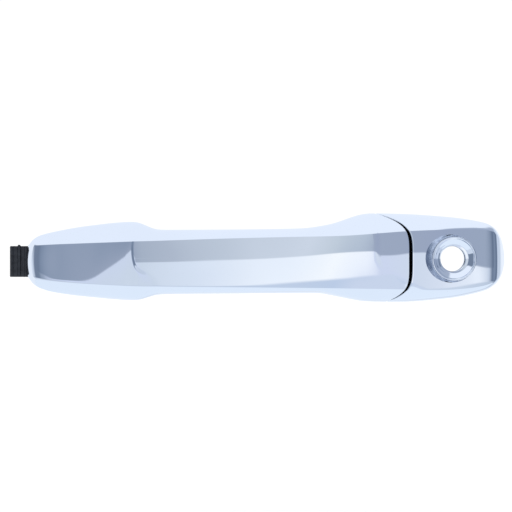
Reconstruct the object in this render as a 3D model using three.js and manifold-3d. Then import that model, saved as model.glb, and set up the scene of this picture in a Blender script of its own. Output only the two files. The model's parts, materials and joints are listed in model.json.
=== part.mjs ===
// Outside pull handle of a car door, left side: a bright waisted grip hinged at its front end, a fixed
// bright cap with a lock passage at its rear end, and the carrier and release crank inside the door.
//
// Millimetres. +X runs along the handle towards the rear of the car, +Z is up, -Y points out of the
// door. y = 0 is the inner face of the door skin, where the carrier's flat pad rests. The skin itself,
// between y = -1 and y = 0, isn't part of the handle.

import * as THREE from "three";
import { LoftGeometry } from "three/addons/geometries/LoftGeometry.js";
import { mergeVertices } from "three/addons/utils/BufferGeometryUtils.js";
import Module from "manifold-3d";

const wasm = await Module();
wasm.setup();

// ---------------------------------------------------------------- driving dimensions

const GAP = 0.3; // between touching pieces
const WALL = 2.5; // bright shells
const PLATE = 3; // grip inner shell
const SHELL_CLEARANCE = 0.5; // between the edges of the inner shell and the wall round it
const SKIN_OUTER = -1; // outer face of the door skin
const PAD_TOP = -2.9; // outer face of the rubber pads
const REST_Y = PAD_TOP - GAP; // back faces of the grip heads and the cap

// Outline seen from outside: [x, z] stations of a smooth curve.
const TOP_EDGE = [
  [-107.2, 5.5], [-105.8, 8.4], [-103, 10.4], [-96, 12.1], [-80, 14.9], [-57.8, 16.9], [-46, 13.1],
  [-15, 13.2], [20, 13.7], [33, 15.4], [53, 20.8], [66, 20.6], [92, 18.9], [104, 17.1],
  [110, 15.4], [113.5, 12.5], [115.5, 8.5], [116.6, 2.5],
];
const BOTTOM_EDGE = [
  [-107.2, -9.5], [-105.8, -12.5], [-103, -14.6], [-96, -16.4], [-80, -18.5], [-57, -20.2],
  [-46, -17.4], [-15, -17], [28, -16.7], [38, -18.4], [52, -20.7], [66, -20.9], [90, -19.2],
  [102, -17], [109, -14.9], [113, -12.1], [115.3, -8.2], [116.6, -3],
];
// The creases between the front facet and the two bevels.
const UPPER_CREASE = [
  [-107.2, 4.6], [-104, 5.9], [-85, 6.8], [-58.7, 7.75], [-20, 9.2], [14, 10.1], [40, 10.6],
  [60, 12], [72, 12.9], [86, 13.4], [104, 13.8], [110, 13], [113.5, 10.6], [115.5, 7], [116.6, 1.8],
];
const LOWER_CREASE = [
  [-107.2, -8.6], [-104, -9.7], [-97, -11], [-74, -12.9], [-50, -13.9], [-15, -14.3], [31, -14.8],
  [60, -15.3], [84, -15.7], [104, -14.4], [110, -12.6], [113.5, -10], [115.5, -6.8], [116.6, -2.2],
];
// Depth of the creases, bulge of the front facet, depth of the bevels and back of the grip.
const CREASE_Y = [
  [-107.2, -6.4], [-106.2, -9.8], [-104, -12.6], [-96, -14.9], [-80, -19], [-60, -24.2],
  [-57.6, -25.1], [-30, -29.6], [0, -32.6], [40, -34.6], [72, -34.2], [84, -32.9], [96, -30.2],
  [106, -27], [111.5, -24.2], [113.5, -21.6], [115.3, -16], [116.6, -9],
];
const CROWN = [[-107.2, 0.2], [-100, 0.6], [-80, 1], [0, 1.5], [72, 1.4], [100, 1], [116.6, 0.2]];
const BEVEL_DEPTH = [
  [-107.2, 1.2], [-104, 4.2], [-90, 8], [-60, 12], [-46, 9], [0, 8.5], [30, 9.5], [52, 13.5],
  [72, 13], [100, 11], [111, 8], [116.6, 2],
];
const BACK_Y = [
  [-107.2, REST_Y], [-78, REST_Y], [-66, -5], [-52, -12], [-40, -15.5], [-20, -17.7], [0, -18.5],
  [20, -18], [34, -15.5], [42, -10.5], [48, -5], [52, REST_Y], [116.6, REST_Y],
];
const GRIP_STATIONS = [
  -107.2, -106.6, -105.6, -104, -101, -97, -90, -80, -70, -62, -59.5, -57.6, -54, -50, -46, -38,
  -25, -10, 5, 20, 28, 33, 38, 43, 48, 52, 58, 66, 75,
];
const CAP_STATIONS = [
  52, 58, 66, 74, 82, 90, 98, 104, 108, 111.5, 113.5, 115, 116, 116.6,
];

// Parting line between grip and cap: a rounded tongue whose sides run out along the edges.
const SEAM_X = 72.1;
const SEAM_REACH = 14.8;
const SEAM_HALF_HEIGHT = 20.7;
const SEAM_POWER = 4.3;
const SEAM_HALF_GAP = 0.85;

// Grip hinge, along Z at the front end.
const HINGE = new THREE.Vector2(-110, 9);
const HUB_RADIUS = 6.6;
const ARM_LOW = -9.2;
const ARM_HIGH = 5.4;
const EAR_LOW = -4.2;
const EAR_HIGH = 0.4;
const HINGE_PIN_RADIUS = 2.5;

// Rear pull arm, a bar that hangs inwards from the grip.
const PULL_ARM = { x0: 50, x1: 56, z0: -16.6, z1: -1.6, tip: 36.5 };
const ARM_ROOT = { y0: -10.3, y1: REST_Y - PLATE - 0.4 };

// Release crank, on a pin along X. Its finger stands as far inwards at rest as outwards when pulled.
const CRANK = new THREE.Vector2(19, 10);
const FINGER_LENGTH = 21;
const FINGER_ANGLE = THREE.MathUtils.degToRad(33.03);
const LUG_RADIUS = 2.5;
const CRANK_PLATE = { x0: 64, x1: 68 };
const ROD_EYE = new THREE.Vector2(43.6, 14.3);
const WEIGHT_AT = new THREE.Vector2(9, 15);
const CRANK_PIN_RADIUS = 2.5;
const CRANK_EARS = [[60.2, 63.4], [74.8, 78]];

// Lock passage and the ring round it, whose axis leans back with the cap.
const KEY = new THREE.Vector2(92.6, -0.6);
const KEY_LEAN = THREE.MathUtils.degToRad(5);
const BEZEL_RIM_Y = -30.6;
const BEZEL_RADIUS = 10.5;
const THROAT_RADIUS = 6.1;
const RECESS = { x: 91.6, radius: 11.8 };
const SLEEVE = { x: 92.1, outer: 12.3, bore: 10, y0: -10, y1: 15 };

// Fasteners: [x, z] on axes along Y, except the cap's retaining screw, along X.
const GRIP_SCREWS = { front: [-84, -1.9], middle: [-8, -2.2], rear: [60.2, -9] };
const CAP_SCREWS = { front: [79.2, 8.5], rear: [104.5, -9.8] };
const MOUNTING_SCREW = [-66, -2];
const RETAINING_SCREW = { y: 9.8, z: 0 };
const SMALL_SHANK = 1.5;
const POST_FLOOR = 3.2; // from the root of a screw post to the end of its hole
const BUMPER = [58, 9.5];
const FRONT_PEGS = [[-75, 7.5], [-75, -11]];
const REAR_PEGS = [[68, 11.5], [75.5, -11]];
const FRAME_FACE = 0.4; // the carrier stands clear of the skin except at its flat pad
const FRAME_THICKNESS = 4;
const DOOR_PAD = { x0: -38, x1: 30, z0: -7, z1: 5 };
const SEAL_THICKNESS = 1.6;
const BACK_CORNER = 1.6; // rounding of the back edges of the bright shells
const GRIP_POST_SINK = 1.2; // from the front facet to the root of a screw post
const CAP_POST_SINK = 1.6;
const COUNTERBORE = 1.6; // depth of the screw heads' seats in the grip's back
const SPRING = { radius: 5.5, wire: 0.6, turns: 4.5, x0: 73.7, x1: 69, leg: 9.5, legShare: 0.14 };

// ---------------------------------------------------------------- materials

function material(color, roughness, metalness) {
  return new THREE.MeshStandardMaterial({ color, roughness, metalness });
}

const chrome = () => material(0xdfe6f2, 0.06, 1);
const blackNylon = () => material(0x17191d, 0.5, 0);
const rubber = () => material(0x1d1e20, 0.85, 0);
const zincPlate = () => material(0xb9bdc2, 0.35, 1);
const dieCast = () => material(0x8f9398, 0.5, 1);
const brass = () => material(0xb79a52, 0.35, 1);
const springSteel = () => material(0x6f7378, 0.3, 1);
const bushPolymer = () => material(0xd8d5c8, 0.45, 0);

// ---------------------------------------------------------------- solids

function toSolid(geometry) {
  const bare = new THREE.BufferGeometry().copy(geometry);
  bare.deleteAttribute("normal");
  bare.deleteAttribute("uv");
  const merged = mergeVertices(bare, 1e-4);
  return new wasm.Manifold(
    new wasm.Mesh({
      numProp: 3,
      vertProperties: new Float32Array(merged.attributes.position.array),
      triVerts: new Uint32Array(merged.index.array),
    }),
  );
}

function toGeometry(solid) {
  const { vertProperties, triVerts } = solid.getMesh();
  const geometry = new THREE.BufferGeometry();
  geometry.setAttribute("position", new THREE.BufferAttribute(vertProperties, 3));
  geometry.setIndex(new THREE.BufferAttribute(triVerts, 1));
  return geometry;
}

// The first geometry joined with `add` and cut by `remove`.
function combine(base, add, remove = []) {
  let solid = toSolid(base);
  for (const geometry of add) solid = solid.add(toSolid(geometry));
  for (const geometry of remove) solid = solid.subtract(toSolid(geometry));
  return toGeometry(solid);
}

function intersect(a, b) {
  return toGeometry(toSolid(a).intersect(toSolid(b)));
}

function box(x0, x1, y0, y1, z0, z1) {
  const geometry = new THREE.BoxGeometry(x1 - x0, y1 - y0, z1 - z0);
  return geometry.translate((x0 + x1) / 2, (y0 + y1) / 2, (z0 + z1) / 2);
}

function rodX(radius, x0, x1, y, z, sides = 16) {
  const geometry = new THREE.CylinderGeometry(radius, radius, x1 - x0, sides).toNonIndexed();
  return geometry.rotateZ(-Math.PI / 2).translate((x0 + x1) / 2, y, z);
}

function rodY(radius, y0, y1, x, z, sides = 16) {
  const geometry = new THREE.CylinderGeometry(radius, radius, y1 - y0, sides).toNonIndexed();
  return geometry.translate(x, (y0 + y1) / 2, z);
}

function rodZ(radius, z0, z1, x, y, sides = 20) {
  const geometry = new THREE.CylinderGeometry(radius, radius, z1 - z0, sides).toNonIndexed();
  return geometry.rotateX(Math.PI / 2).translate(x, y, (z0 + z1) / 2);
}

function extrude(shape, depth, curveSegments = 6) {
  const settings = { depth, steps: 1, bevelEnabled: false, curveSegments };
  return new THREE.ExtrudeGeometry(shape, settings);
}

function outline(points) {
  return new THREE.Shape(points.map(([a, b]) => new THREE.Vector2(a, b)));
}

// A shape drawn in (x, z), from y0 to y1.
function slabY(points, y0, y1) {
  return extrude(outline(points), y1 - y0).rotateX(Math.PI / 2).translate(0, y1, 0);
}

// A shape drawn in (x, y), from z0 to z1.
function slabZ(points, z0, z1) {
  return extrude(outline(points), z1 - z0).translate(0, 0, z0);
}

// A shape drawn in (y, z), from x0 to x1.
function slabX(points, x0, x1) {
  const geometry = extrude(outline(points), x1 - x0);
  return geometry.rotateX(Math.PI / 2).rotateZ(Math.PI / 2).translate(x0, 0, 0);
}

// A straight arm in the (y, z) plane with round ends, from x0 to x1.
function link(from, to, radius, x0, x1) {
  const along = to.clone().sub(from).normalize();
  const side = new THREE.Vector2(-along.y, along.x).multiplyScalar(radius);
  const corners = [
    from.clone().sub(side), to.clone().sub(side), to.clone().add(side), from.clone().add(side),
  ];
  const bar = slabX(corners.map((p) => [p.x, p.y]), x0, x1);
  return combine(bar, [rodX(radius, x0, x1, from.x, from.y), rodX(radius, x0, x1, to.x, to.y)]);
}

// ---------------------------------------------------------------- curves

// A smooth curve through stations [x, value], with no overshoot between them.
function curve(stations) {
  const secant = [];
  for (let i = 0; i + 1 < stations.length; i++) {
    const [x0, v0] = stations[i];
    const [x1, v1] = stations[i + 1];
    secant.push((v1 - v0) / (x1 - x0));
  }
  const slope = stations.map((_, i) => {
    const before = secant[Math.max(i - 1, 0)];
    const after = secant[Math.min(i, secant.length - 1)];
    return before * after <= 0 ? 0 : (2 * before * after) / (before + after);
  });
  return (x) => {
    let i = 0;
    while (i < stations.length - 2 && x > stations[i + 1][0]) i++;
    const [x0, v0] = stations[i];
    const [x1, v1] = stations[i + 1];
    const h = x1 - x0;
    const t = THREE.MathUtils.clamp((x - x0) / h, 0, 1);
    const rise = t * t * (3 - 2 * t);
    const leave = t * (1 - t) ** 2;
    const arrive = t * t * (t - 1);
    return v0 + (v1 - v0) * rise + h * (slope[i] * leave + slope[i + 1] * arrive);
  };
}

const topEdge = curve(TOP_EDGE);
const bottomEdge = curve(BOTTOM_EDGE);
const upperCrease = curve(UPPER_CREASE);
const lowerCrease = curve(LOWER_CREASE);
const creaseY = curve(CREASE_Y);
const crown = curve(CROWN);
const bevelDepth = curve(BEVEL_DEPTH);
const backY = curve(BACK_Y);

function frontY(x) {
  return creaseY(x) - crown(x);
}

function seamX(z) {
  return SEAM_X - SEAM_REACH * (Math.abs(z) / SEAM_HALF_HEIGHT) ** SEAM_POWER;
}

// ---------------------------------------------------------------- bright shells

// Points of one bevel, from the side wall at `edge` to the crease at `crease`.
function bevelPoints(wallY, edge, creaseDepth, crease) {
  const bend = new THREE.QuadraticBezierCurve(
    new THREE.Vector2(wallY, edge),
    new THREE.Vector2(creaseDepth + 0.45 * (wallY - creaseDepth), edge),
    new THREE.Vector2(creaseDepth, crease),
  );
  return bend.getPoints(3);
}

// The outer section of grip or cap at x as points (y, z), shrunk by `inset` and with its back at `back`.
function section(x, inset, back) {
  const top = topEdge(x) - inset;
  const bottom = bottomEdge(x) + inset;
  const high = Math.min(upperCrease(x) - 0.4 * inset, top - 0.3);
  const low = Math.max(lowerCrease(x) + 0.4 * inset, bottom + 0.3);
  const front = creaseY(x) + inset;
  const corner = inset > 0 ? 0.2 : BACK_CORNER;
  const wall = Math.min(front + bevelDepth(x), back - corner - 0.4);
  const facet = [];
  for (const t of [0.2, 0.4, 0.6, 0.8]) {
    facet.push(new THREE.Vector2(front - 4 * crown(x) * t * (1 - t), high + (low - high) * t));
  }
  return [
    new THREE.Vector2(back, bottom + corner),
    new THREE.Vector2(back, top - corner),
    new THREE.Vector2(back - 0.3 * corner, top - 0.3 * corner),
    new THREE.Vector2(back - corner, top),
    ...bevelPoints(wall, top, front, high),
    ...facet,
    ...bevelPoints(wall, bottom, front, low).reverse(),
    new THREE.Vector2(back - corner, bottom),
    new THREE.Vector2(back - 0.3 * corner, bottom + 0.3 * corner),
  ];
}

function loft(stations, inset, back) {
  const sections = stations.map((x) =>
    section(x, inset, back(x)).map((p) => new THREE.Vector3(x, p.x, p.y)),
  );
  return new LoftGeometry(sections, { capStart: true, capEnd: true });
}

// Everything on the grip's side of the parting line, moved by `shift` towards the cap.
function gripSide(shift) {
  const points = [[-140, 24]];
  const steps = 22;
  for (let i = 0; i <= steps; i++) {
    const z = 24 - (48 * i) / steps;
    points.push([seamX(z) + shift, z]);
  }
  points.push([-140, -24]);
  return slabY(points.reverse(), -60, 30);
}

function post(radius, hole, y0, y1, x, z) {
  const body = rodY(radius, y0, y1, x, z, 12);
  return { body, hole: rodY(hole, y0 + POST_FLOOR, y1 + 1, x, z, 12) };
}

function insetStations(stations) {
  const inner = stations.filter((x) => x > stations[0] + WALL);
  return [stations[0] + WALL, ...inner];
}

function gripOuterShell() {
  const outer = intersect(loft(GRIP_STATIONS, 0, backY), gripSide(-SEAM_HALF_GAP));
  const open = (x) => backY(x) + 4;
  const room = intersect(loft(insetStations(GRIP_STATIONS), WALL, open), gripSide(-SEAM_HALF_GAP - WALL));
  const heads = { front: ARM_ROOT.y0, middle: backY(GRIP_SCREWS.middle[0]) - PLATE, rear: ARM_ROOT.y0 };
  const posts = Object.entries(GRIP_SCREWS).map(([which, [x, z]]) =>
    post(3.2, SMALL_SHANK + GAP, frontY(x) + GRIP_POST_SINK, heads[which] - GAP, x, z),
  );
  const shell = combine(outer, [], [room]);
  return combine(shell, posts.map((p) => p.body), posts.map((p) => p.hole));
}

function gripInnerShell() {
  const inset = WALL + SHELL_CLEARANCE;
  const sections = insetStations(GRIP_STATIONS).map((x) => {
    const [y, high, low] = [backY(x), topEdge(x) - inset, bottomEdge(x) + inset];
    return [[y, low], [y, high], [y - PLATE, high], [y - PLATE, low]].map(
      ([a, b]) => new THREE.Vector3(x + 0.4, a, b),
    );
  });
  const plate = intersect(
    new LoftGeometry(sections, { capStart: true, capEnd: true }),
    gripSide(-SEAM_HALF_GAP - inset),
  );
  const holes = [
    box(-102.2, -91.6, -20, 5, ARM_LOW - 0.4, ARM_HIGH + 0.4),
    box(PULL_ARM.x0 - 0.4, PULL_ARM.x1 + 0.4, -20, 5, PULL_ARM.z0 - 0.4, PULL_ARM.z1 + 0.4),
  ];
  for (const [x, z] of Object.values(GRIP_SCREWS)) {
    holes.push(rodY(SMALL_SHANK + GAP, backY(x) - PLATE - 2, backY(x) + 2, x, z, 12));
    holes.push(rodY(3.4, backY(x) - COUNTERBORE, backY(x) + 3, x, z, 12));
  }
  return combine(plate, [], holes);
}

function keyCap() {
  const rest = () => REST_Y;
  const outer = combine(loft(CAP_STATIONS, 0, rest), [], [gripSide(SEAM_HALF_GAP)]);
  const rooms = CAP_STATIONS.filter((x) => x < 113);
  const room = combine(
    loft([...rooms, 113.4, 114], WALL, () => REST_Y + 4), [], [gripSide(SEAM_HALF_GAP + WALL)],
  );
  const posts = Object.values(CAP_SCREWS).map(([x, z]) =>
    post(3, SMALL_SHANK + GAP, frontY(x) + CAP_POST_SINK, SLEEVE.y0 - GAP, x, z),
  );
  const shell = combine(outer, [], [room]);
  return combine(shell, posts.map((p) => p.body), [
    ...posts.map((p) => p.hole),
    leaned(rodY(BEZEL_RADIUS + GAP, -20, 20, 0, 0, 32)),
    leaned(rodY(RECESS.radius, -20, 0.6, RECESS.x - KEY.x, 0, 32)),
  ]);
}

// ---------------------------------------------------------------- ring and sleeve of the lock passage

// Places a piece drawn round the Y axis on the leaning axis of the lock passage, rim at y = 0.
function leaned(geometry) {
  return geometry.rotateZ(KEY_LEAN).translate(KEY.x, BEZEL_RIM_Y, KEY.y);
}

function latheY(profile, sides) {
  const points = profile.map(([r, y]) => new THREE.Vector2(r, -y));
  points.push(points[0].clone());
  return new THREE.LatheGeometry(points, sides).rotateZ(Math.PI);
}

function keyBezel() {
  const profile = [
    [THROAT_RADIUS, 9.5], [7.6, 9.5], [7.6, 7.5], [BEZEL_RADIUS, 7.5], [BEZEL_RADIUS, 0.5],
    [BEZEL_RADIUS - 0.4, 0], [BEZEL_RADIUS - 0.9, 0.3], [THROAT_RADIUS + 0.3, 4.2], [THROAT_RADIUS, 4.9],
  ];
  return leaned(latheY(profile, 28));
}

function cylinderHousing() {
  const { x, outer, bore, y0, y1 } = SLEEVE;
  const ears = Object.values(CAP_SCREWS).map(([ex, ez]) => rodY(3.4, y0, y0 + 3, ex, ez));
  const arms = Object.values(CAP_SCREWS).map(([ex, ez]) =>
    slabY([[ex, ez + 3], [ex, ez - 3], [x, KEY.y - 3], [x, KEY.y + 3]].reverse(), y0, y0 + 3),
  );
  const boss = box(x + 8, 105.6, 4.6, y1, -6, 6);
  const holes = Object.values(CAP_SCREWS).map(([ex, ez]) =>
    rodY(SMALL_SHANK + GAP, y0 - 1, y0 + 4, ex, ez, 12),
  );
  return combine(rodY(outer, y0, y1, x, KEY.y, 32), [...ears, ...arms, boss], [
    rodY(bore, y0 - 1, y1 + 1, x, KEY.y, 32),
    rodX(3.8, 101.5, 107, RETAINING_SCREW.y, RETAINING_SCREW.z),
    ...holes,
  ]);
}

// ---------------------------------------------------------------- arms of the grip

function frontPivotArm() {
  const neck = slabZ(
    [
      [HINGE.x - 5.6, 5.4], [-107, 3.2], [-101.8, 0.8], [-101.8, ARM_ROOT.y1], [-92, ARM_ROOT.y1],
      [-92, 0.5], [HINGE.x + 5, HINGE.y + 4],
    ],
    ARM_LOW,
    ARM_HIGH,
  );
  const hub = rodZ(HUB_RADIUS, ARM_LOW, ARM_HIGH, HINGE.x, HINGE.y, 28);
  const root = box(-101.8, -79, ARM_ROOT.y0, ARM_ROOT.y1, ARM_LOW, ARM_HIGH);
  const web = box(HINGE.x - HUB_RADIUS, -103, 0.9, 2.4, ARM_LOW, ARM_HIGH);
  const ribs = [-115.9, -112.4, -109.2].map((x, i) =>
    box(x - 0.6, x + 0.6, 0.1, 1.2, ARM_LOW, ARM_HIGH + (i === 1 ? 0.6 : 0)),
  );
  const [sx, sz] = GRIP_SCREWS.front;
  return combine(hub, [neck, root, web, ...ribs], [
    box(-120, -95, 2.4, 20, EAR_LOW - GAP, EAR_HIGH + GAP),
    rodZ(HINGE_PIN_RADIUS + GAP, ARM_LOW - 1, ARM_HIGH - 1.2, HINGE.x, HINGE.y),
    rodY(SMALL_SHANK + GAP, -20, 0, sx, sz, 12),
  ]);
}

function rearPullArm() {
  const { x0, x1, z0, z1, tip } = PULL_ARM;
  const root = box(x0, 63.2, ARM_ROOT.y0, ARM_ROOT.y1, z0 + 1, z1);
  const bar = slabX([[ARM_ROOT.y1 - 1, z0], [tip - 3, z0], [tip, z0 + 3], [tip, z1 - 3], [tip - 3, z1],
    [ARM_ROOT.y1 - 1, z1]], x0, x1);
  const lugY = CRANK.x + FINGER_LENGTH * Math.sin(FINGER_ANGLE);
  const [sx, sz] = GRIP_SCREWS.rear;
  return combine(root, [bar], [
    box(x0 - 1, x1 + 1, lugY - LUG_RADIUS - 1.3, lugY + LUG_RADIUS + 0.9, z0 + 2.3, z1 - 2.6),
    box(x0 - 1, x1 + 1, 2, 22, z0 + 4.5, z1 - 4.5),
    rodY(SMALL_SHANK + GAP, -20, 0, sx, sz, 12),
  ]);
}

// ---------------------------------------------------------------- carrier

const FRONT_PLATE_TOP = [[-52, 6], [-56, 13], [-62, 14.5], [-82, 12.6], [-98, 9.6]];
const FRONT_PLATE_BOTTOM = [[-98, -13.6], [-82, -16], [-62, -17.6], [-56, -16], [-52, -8]];
const FRONT_APERTURE = [[-98, 6.9], [-82, 6.9], [-82, -10.7], [-98, -10.7]];
const REAR_PLATE_BOTTOM = [
  [42, -8], [44.5, -8], [44.5, -0.2], [72, -0.2], [72, -16.5], [90, -16.5], [104, -14], [110, -9],
];
const REAR_PLATE_TOP = [[110, 9], [104, 13.8], [88, 16.6], [60, 17], [47, 15.5], [42, 6]];

// A strip of even width along an open line of points.
function ribbon(points, width, y0, y1) {
  const path = points.map(([x, z]) => new THREE.Vector2(x, z));
  const left = [];
  const right = [];
  path.forEach((p, i) => {
    const back = p.clone().sub(path[Math.max(i - 1, 0)]).normalize();
    const ahead = path[Math.min(i + 1, path.length - 1)].clone().sub(p).normalize();
    const along = back.add(ahead).normalize();
    const reach = i > 0 && i < path.length - 1 ? Math.max(along.dot(ahead), 0.5) : 1;
    const side = new THREE.Vector2(-along.y, along.x).multiplyScalar(width / 2 / reach);
    left.push(p.clone().add(side));
    right.unshift(p.clone().sub(side));
  });
  const ring = [...left, ...right];
  if (THREE.ShapeUtils.isClockWise(ring)) ring.reverse();
  return slabY(ring.map((p) => [p.x, p.y]), y0, y1);
}

const FRONT_SEAL_PATH = [
  [-97, 8.2], [-82, 10.7], [-62.5, 12.5], [-57.8, 11], [-55.2, 5], [-55.2, -8], [-58, -14.3],
  [-62.5, -15.7], [-82, -14.1], [-97, -12.1],
];
const REAR_SEAL_PATH = [
  [46.6, 7], [49, 13.7], [60, 15.1], [87.6, 14.7], [102.8, 12], [107, 8], [107, -8.4], [102.8, -12.2],
  [89.6, -14.9], [74, -14.6],
];
const SEAL_WIDTH = 2.2;

function seal(path) {
  return ribbon(path, SEAL_WIDTH, 0, SEAL_THICKNESS);
}

function sealGroove(path) {
  return ribbon(path, SEAL_WIDTH + 2 * GAP, -1, SEAL_THICKNESS + GAP);
}

function crankEar([x0, x1]) {
  const bar = slabX([[3, 3.5], [CRANK.x, 3.5], [CRANK.x, 16.5], [3, 16.5]], x0, x1);
  return combine(bar, [rodX(6.5, x0, x1, CRANK.x, CRANK.y, 24)]);
}

function frameBeams() {
  const back = FRAME_THICKNESS - 1;
  return [
    box(-84, 44, back, 10, -8, -5.6),
    box(-84, 44, back, 10, 3.6, 6),
    box(-84, -81, back, 13.5, -8, 6),
    ...[-50, -18, 14].map((x) => box(x, x + 2.4, back, 9, -8, 6)),
  ];
}

function frontEar() {
  const hub = rodZ(6.2, EAR_LOW, EAR_HIGH, HINGE.x, HINGE.y, 24);
  return combine(hub, [box(HINGE.x, -81, 5, 13.5, EAR_LOW, EAR_HIGH)]);
}

function baseFrame() {
  const plate = slabY(
    [...REAR_PLATE_BOTTOM, ...REAR_PLATE_TOP, ...FRONT_PLATE_TOP, ...FRONT_APERTURE,
      ...FRONT_PLATE_BOTTOM],
    FRAME_FACE,
    FRAME_THICKNESS,
  );
  const { x0, x1, z0, z1 } = DOOR_PAD;
  const [mx, mz] = MOUNTING_SCREW;
  const solids = [
    box(x0, x1, 0, 1, z0, z1),
    ...frameBeams(),
    frontEar(),
    ...CRANK_EARS.map(crankEar),
    rodY(7, FRAME_THICKNESS - 1, 11, mx, mz, 20),
    rodY(15.8, FRAME_THICKNESS - 1, 9, SLEEVE.x, KEY.y, 36),
    box(106.2, 110, 1, 15, -8, 8),
    box(44, 60.5, FRAME_THICKNESS - 1, 9, 1, 3.4),
    box(44, 60.5, FRAME_THICKNESS - 1, 9, 13, 15.4),
  ];
  const pegs = [...FRONT_PEGS, ...REAR_PEGS].map(([x, z]) => rodY(2.2, -1, 6, x, z, 12));
  return combine(plate, solids, [
    rodY(SLEEVE.outer + 0.9, -1, 20, SLEEVE.x, KEY.y, 36),
    box(SLEEVE.x + 8, 106, -1, 20, -6.5, 6.5),
    rodX(3, 105, 111, RETAINING_SCREW.y, RETAINING_SCREW.z),
    rodY(4.8, -1, 10.9 - GAP, mx, mz),
    rodZ(4.3, EAR_LOW - 1, EAR_HIGH + 1, HINGE.x, HINGE.y),
    rodX(CRANK_PIN_RADIUS + GAP, 58, 80, CRANK.x, CRANK.y),
    rodY(2.4, -1, 6, BUMPER[0], BUMPER[1], 12),
    ...pegs,
    sealGroove(FRONT_SEAL_PATH),
    sealGroove(REAR_SEAL_PATH),
  ]);
}

// ---------------------------------------------------------------- rubber

// The outline between two stations, kept `inset` inside the silhouette.
function headOutline(stations, inset) {
  const upper = stations.map((x) => [x, topEdge(x) - inset]);
  const lower = stations.map((x) => [x, bottomEdge(x) + inset]);
  return [...lower, ...upper.reverse()];
}

function pad(stations, pegs, holes) {
  const sheet = slabY(headOutline(stations, 1), PAD_TOP, SKIN_OUTER);
  const studs = pegs.map(([x, z]) => rodY(1.8, SKIN_OUTER - 0.5, 3, x, z, 12));
  return combine(sheet, studs, holes);
}

function frontGasket() {
  const [mx, mz] = MOUNTING_SCREW;
  return pad([-106.4, -105, -102, -96, -86, -74, -62, -58], FRONT_PEGS, [
    box(-104.8, -90.8, -5, 1, ARM_LOW - 0.7, ARM_HIGH + 0.7),
    rodY(5.6, -5, 1, mx, mz),
  ]);
}

function rearGasket() {
  return pad([41.5, 46, 54, 66, 80, 92, 102, 108, 112, 114.6], REAR_PEGS, [
    box(45, 58.5, -5, 1, PULL_ARM.z0 - 1, PULL_ARM.z1 + 1),
    rodY(SLEEVE.outer + 0.9, -5, 1, SLEEVE.x, KEY.y, 32),
    rodY(4.6, -5, 1, BUMPER[0], BUMPER[1]),
  ]);
}

function restBumper() {
  const profile = [[0, PAD_TOP], [3, PAD_TOP], [4.2, -2.2], [4.2, SKIN_OUTER], [2.1, SKIN_OUTER],
    [2.1, FRAME_THICKNESS + 0.5], [0, FRAME_THICKNESS + 0.5]];
  return new THREE.LatheGeometry(profile.map(([r, y]) => new THREE.Vector2(r, y)), 16)
    .translate(BUMPER[0], 0, BUMPER[1]);
}

// ---------------------------------------------------------------- fasteners and turned pieces

// A screw along +Y with its head at y = 0 and a six-sided recess in the head.
function screw(headRadius, headHeight, shankRadius, length, drive) {
  const profile = [
    [0, -headHeight], [0.75 * headRadius, -headHeight], [headRadius, -0.5 * headHeight], [headRadius, 0],
    [shankRadius, 0], [shankRadius, length - 1], [0.5 * shankRadius, length], [0, length],
  ];
  const body = new THREE.LatheGeometry(profile.map(([r, y]) => new THREE.Vector2(r, y)), 14);
  return combine(body, [], [rodY(drive, -headHeight - 1, -0.35 * headHeight, 0, 0, 6)]);
}

// A clamp screw that enters from the door side, head seated at y, pointing outwards.
function outwardScrew(y, x, z, length) {
  return screw(3, 1.3, SMALL_SHANK, length, 1.4).rotateZ(Math.PI).translate(x, y, z);
}

function gripScrew(which) {
  const [x, z] = GRIP_SCREWS[which];
  const seat = backY(x) - COUNTERBORE + GAP;
  const reach = seat - (frontY(x) + GRIP_POST_SINK + POST_FLOOR) - 2 * GAP;
  return outwardScrew(seat, x, z, Math.min(reach, 16));
}

function capScrew(which) {
  const [x, z] = CAP_SCREWS[which];
  return outwardScrew(SLEEVE.y0 + 3 + GAP, x, z, 14);
}

function mountingScrew() {
  const [x, z] = MOUNTING_SCREW;
  return screw(5, 1.7, 3, 10.5, 2.4).translate(x, SKIN_OUTER - 0.1, z);
}

function tube(outer, bore, y0, y1, sides = 16) {
  return latheY([[bore, -y0], [bore, -y1], [outer, -y1], [outer, -y0]].map(([r, y]) => [r, -y]), sides);
}

function mountingInsert() {
  const [x, z] = MOUNTING_SCREW;
  return tube(4.5, 3 + GAP, 0.6, 10.2).translate(x, 0, z);
}

function capScrewInsert() {
  return tube(3.5, 2.5 + GAP, -1.8, 1.8).rotateZ(Math.PI / 2)
    .translate(103.7, RETAINING_SCREW.y, RETAINING_SCREW.z);
}

function capRetainingScrew() {
  return screw(4.5, 3, 2.5, 8, 2.2).rotateZ(Math.PI / 2)
    .translate(110 + GAP, RETAINING_SCREW.y, RETAINING_SCREW.z);
}

function frontPivotPin() {
  return rodZ(HINGE_PIN_RADIUS, ARM_LOW + 0.3, ARM_HIGH - 1.6, HINGE.x, HINGE.y, 16);
}

function frontPivotBush() {
  return tube(4, HINGE_PIN_RADIUS + GAP, -2.3, 2.3).rotateX(Math.PI / 2)
    .translate(HINGE.x, HINGE.y, (EAR_LOW + EAR_HIGH) / 2);
}

function crankPin() {
  const head = rodX(4.2, 58.4, CRANK_EARS[0][0] - GAP, CRANK.x, CRANK.y);
  return combine(rodX(CRANK_PIN_RADIUS, 59, 80.4, CRANK.x, CRANK.y), [head]);
}

function crankPinClip() {
  const ring = rodX(4.4, 78.3, 79.3, CRANK.x, CRANK.y, 20);
  return combine(ring, [], [
    rodX(CRANK_PIN_RADIUS + GAP, 77, 81, CRANK.x, CRANK.y, 16),
    box(77, 81, CRANK.x - 1.6, CRANK.x + 1.6, CRANK.y, CRANK.y + 6),
  ]);
}

// ---------------------------------------------------------------- release crank

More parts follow.
